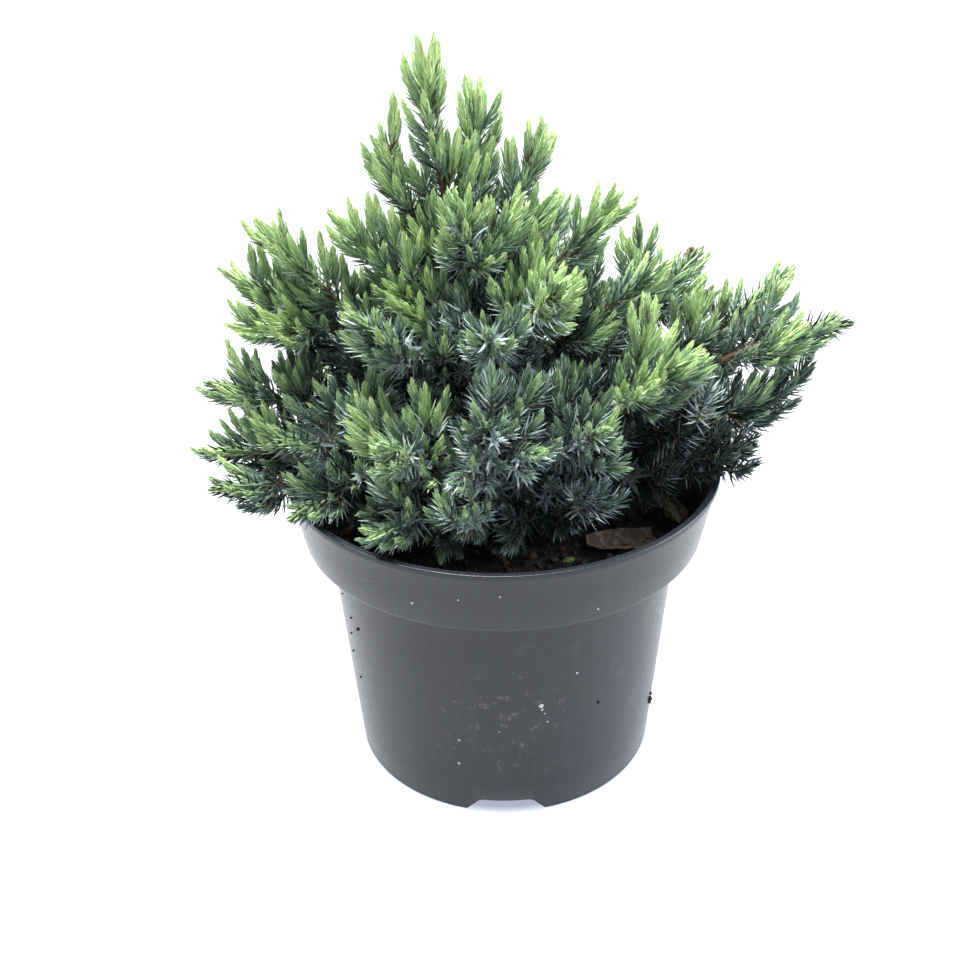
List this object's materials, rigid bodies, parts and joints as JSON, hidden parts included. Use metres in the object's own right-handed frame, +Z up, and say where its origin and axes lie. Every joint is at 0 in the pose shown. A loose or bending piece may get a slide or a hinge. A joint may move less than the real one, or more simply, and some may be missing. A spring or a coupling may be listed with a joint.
{
  "type": "potted conifer",
  "caption": "Dwarf blue juniper with a low spreading crown and one upright spire, growing in a round black nursery pot with a stepped collar.",
  "frame": {"origin": "the middle of the pot's flat underside, on the small pad under the floor", "axes": "+Z up along the pot's axis; -Y towards the camera of the picture; +X to its right"},
  "size_m": [0.1903, 0.1329, 0.2215],
  "materials": {
    "pot_plastic": "moulded black plastic, semi-matt, faintly scuffed and dusty",
    "compost": "damp dark peat compost with fibres and a few pale grains",
    "dry_bark": "dry curled brown bark",
    "bark": "thin flaking red-brown bark",
    "needles": "waxy awl-shaped needles, blue-green with pale upper sides and fresh yellow-green tips"
  },
  "bodies": {
    "root": {"bark_chip_large": "dry_bark", "bark_chip_small": "dry_bark", "bough_arm_left": "bark", "bough_arm_right": "bark", "bough_back": "bark", "bough_back_left": "bark", "bough_back_right_up": "bark", "bough_front": "bark", "bough_front_left": "bark", "bough_front_right": "bark", "bough_low_left": "bark", "bough_right_front": "bark", "bough_skirt_left": "bark", "bough_skirt_right_up": "bark", "foliage_arm_left": "needles", "foliage_arm_left_top": "needles", "foliage_arm_right": "needles", "foliage_back": "needles", "foliage_back_left": "needles", "foliage_back_left_up": "needles", "foliage_back_right": "needles", "foliage_back_right_shoulder": "needles", "foliage_back_right_up": "needles", "foliage_crown_back": "needles", "foliage_crown_back_right": "needles", "foliage_crown_front": "needles", "foliage_crown_left": "needles", "foliage_crown_right": "needles", "foliage_flank_left": "needles", "foliage_flank_right": "needles", "foliage_front": "needles", "foliage_front_heart": "needles", "foliage_front_left": "needles", "foliage_front_left_up": "needles", "foliage_front_right": "needles", "foliage_front_right_up": "needles", "foliage_front_up": "needles", "foliage_left_front": "needles", "foliage_low_left": "needles", "foliage_right_front": "needles", "foliage_right_low": "needles", "foliage_right_up": "needles", "foliage_rim_left": "needles", "foliage_shoulder_left": "needles", "foliage_shoulder_right": "needles", "foliage_skirt_back": "needles", "foliage_skirt_back_left": "needles", "foliage_skirt_back_right": "needles", "foliage_skirt_front": "needles", "foliage_skirt_front_left": "needles", "foliage_skirt_left": "needles", "foliage_skirt_left_front": "needles", "foliage_skirt_right": "needles", "foliage_skirt_right_up": "needles", "foliage_soil_front": "needles", "foliage_soil_right": "needles", "foliage_spire": "needles", "pot": "pot_plastic", "soil": "compost", "trunk": "bark"}
  },
  "joints": []
}
